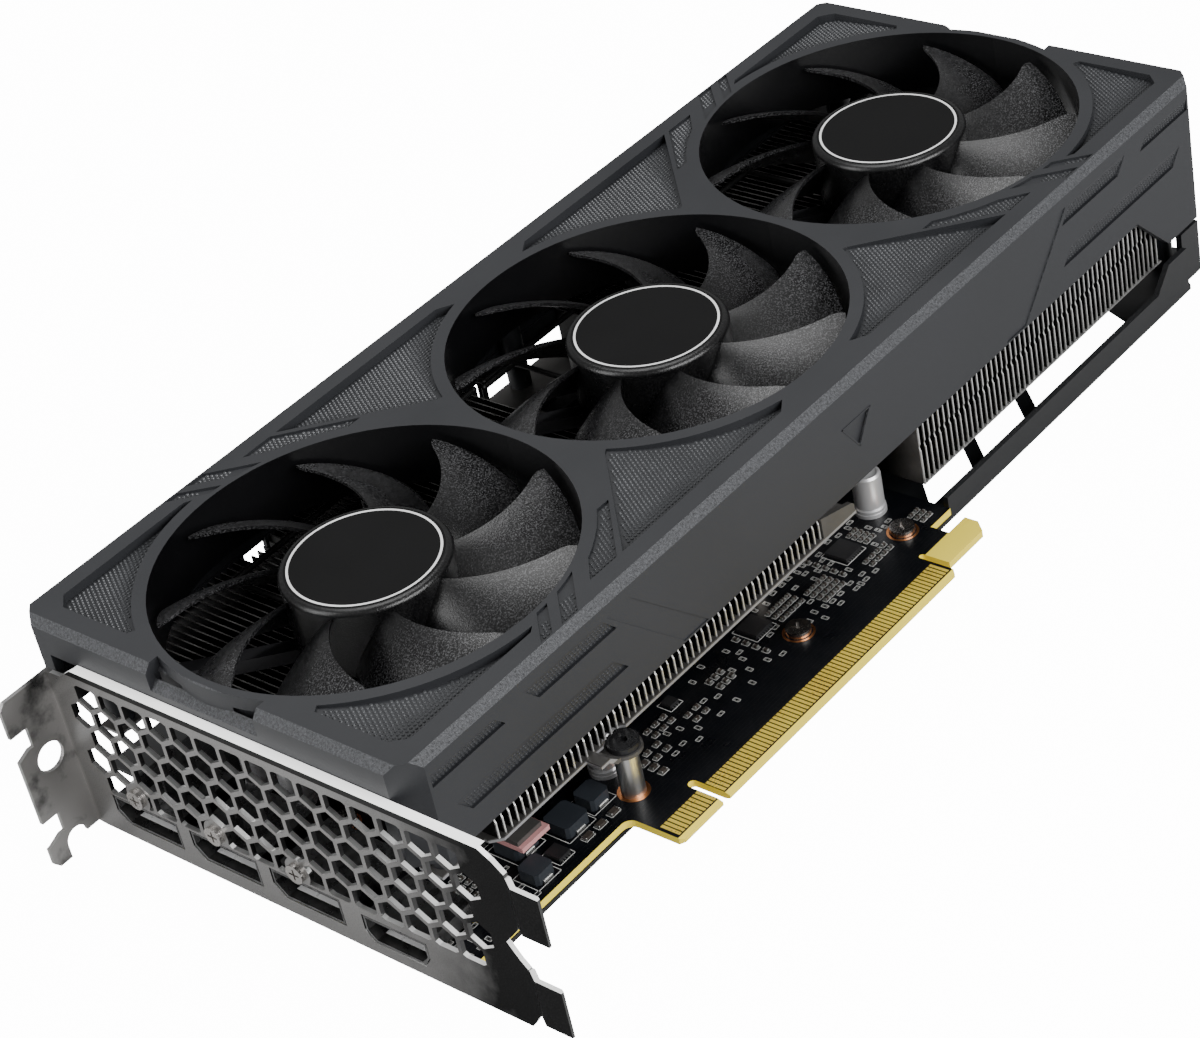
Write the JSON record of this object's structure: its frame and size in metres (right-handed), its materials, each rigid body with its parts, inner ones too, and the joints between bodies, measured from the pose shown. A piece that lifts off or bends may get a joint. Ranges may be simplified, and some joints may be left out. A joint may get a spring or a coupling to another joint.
{
  "type": "graphics card",
  "caption": "Graphics card with a row of axial fans in a charcoal shroud, a finned heat sink that runs past the short circuit board, and a vented slot bracket.",
  "frame": {"origin": "on the outer face of the slot bracket, level with the bottom of the edge tongue and with the board face that carries the chips", "axes": "+X along the card towards its tail, +Y from the slot towards the power socket, +Z from the board towards the fans"},
  "size_m": [0.2627, 0.129, 0.0482],
  "materials": {
    "board_black": "satin black solder mask",
    "gold_plate": "bright gold plating",
    "package_green": "satin laminate",
    "silicon": "polished",
    "grey_paste": "matt paste",
    "chip_black": "moulded epoxy",
    "choke_grey": "matt grey composite",
    "can_metal": "bright drawn can",
    "ceramic_tan": "fired ceramic",
    "socket_black": "moulded satin",
    "socket_white": "moulded satin",
    "nickel_sheet": "nickel plated",
    "bracket_steel": "nickel plated, satin",
    "screw_steel": "nickel plated",
    "screw_black": "black zinc",
    "black_sheet": "matt black coating",
    "pad_pink": "soft matt pad",
    "nickel_copper": "nickel plated, satin",
    "fin_aluminium": "stamped, satin",
    "shroud_plastic": "matt charcoal with textured bevels",
    "cable_black": "satin",
    "motor_board": "satin",
    "frame_plastic": "matt black",
    "bearing_bronze": "sintered",
    "copper_wire": "enamelled winding",
    "magnet_grey": "matt grey",
    "fan_plastic": "fine grained satin black",
    "hub_disc": "flat dark disc with a thin pale ring"
  },
  "bodies": {
    "card": {"pcb": "board_black", "edge_contacts": "gold_plate", "gpu_package": "package_green", "gpu_die": "silicon", "thermal_paste": "grey_paste", "memory_chips": "chip_black", "inductors": "choke_grey", "power_stages": "chip_black", "capacitors": "can_metal", "controller_chips": "chip_black", "small_components": "ceramic_tan", "power_socket": "socket_black", "power_pins": "gold_plate", "fan_sockets": "socket_white", "displayport_shells": "nickel_sheet", "displayport_tongues": "socket_black", "hdmi_shell": "nickel_sheet", "hdmi_tongue": "socket_black", "slot_bracket": "bracket_steel", "bracket_screws": "screw_steel", "backplate": "black_sheet", "backplate_screws": "screw_black", "board_screws": "screw_steel", "thermal_pads": "pad_pink", "base_block": "nickel_copper", "cooler_frame": "nickel_sheet", "heat_pipes": "nickel_copper", "main_fins": "fin_aluminium", "tail_fins": "fin_aluminium", "cooler_screws": "screw_steel", "support_pillars": "nickel_sheet", "pillar_caps": "screw_black", "shroud": "shroud_plastic", "shroud_screws": "screw_black", "fan_screws": "screw_black", "fan_cables": "cable_black", "fan_motor_boards": "motor_board", "fan_1_frame": "frame_plastic", "fan_1_bearing": "bearing_bronze", "fan_1_stator": "copper_wire", "fan_2_frame": "frame_plastic", "fan_2_bearing": "bearing_bronze", "fan_2_stator": "copper_wire", "fan_3_frame": "frame_plastic", "fan_3_bearing": "bearing_bronze", "fan_3_stator": "copper_wire"},
    "fan_1_rotor": {"fan_1_impeller": "fan_plastic", "fan_1_hub_cap": "hub_disc", "fan_1_shaft": "screw_steel", "fan_1_magnet": "magnet_grey"},
    "fan_2_rotor": {"fan_2_impeller": "fan_plastic", "fan_2_hub_cap": "hub_disc", "fan_2_shaft": "screw_steel", "fan_2_magnet": "magnet_grey"},
    "fan_3_rotor": {"fan_3_impeller": "fan_plastic", "fan_3_hub_cap": "hub_disc", "fan_3_shaft": "screw_steel", "fan_3_magnet": "magnet_grey"}
  },
  "joints": [
    {"name": "fan_1_spin", "type": "hinge", "parent": "card", "child": "fan_1_rotor", "pos_m": [0.0448, 0.064, 0.03], "axis": [0, 0, 1], "continuous": true},
    {"name": "fan_2_spin", "type": "hinge", "parent": "card", "child": "fan_2_rotor", "pos_m": [0.1264, 0.064, 0.03], "axis": [0, 0, 1], "continuous": true},
    {"name": "fan_3_spin", "type": "hinge", "parent": "card", "child": "fan_3_rotor", "pos_m": [0.208, 0.064, 0.03], "axis": [0, 0, 1], "continuous": true}
  ]
}
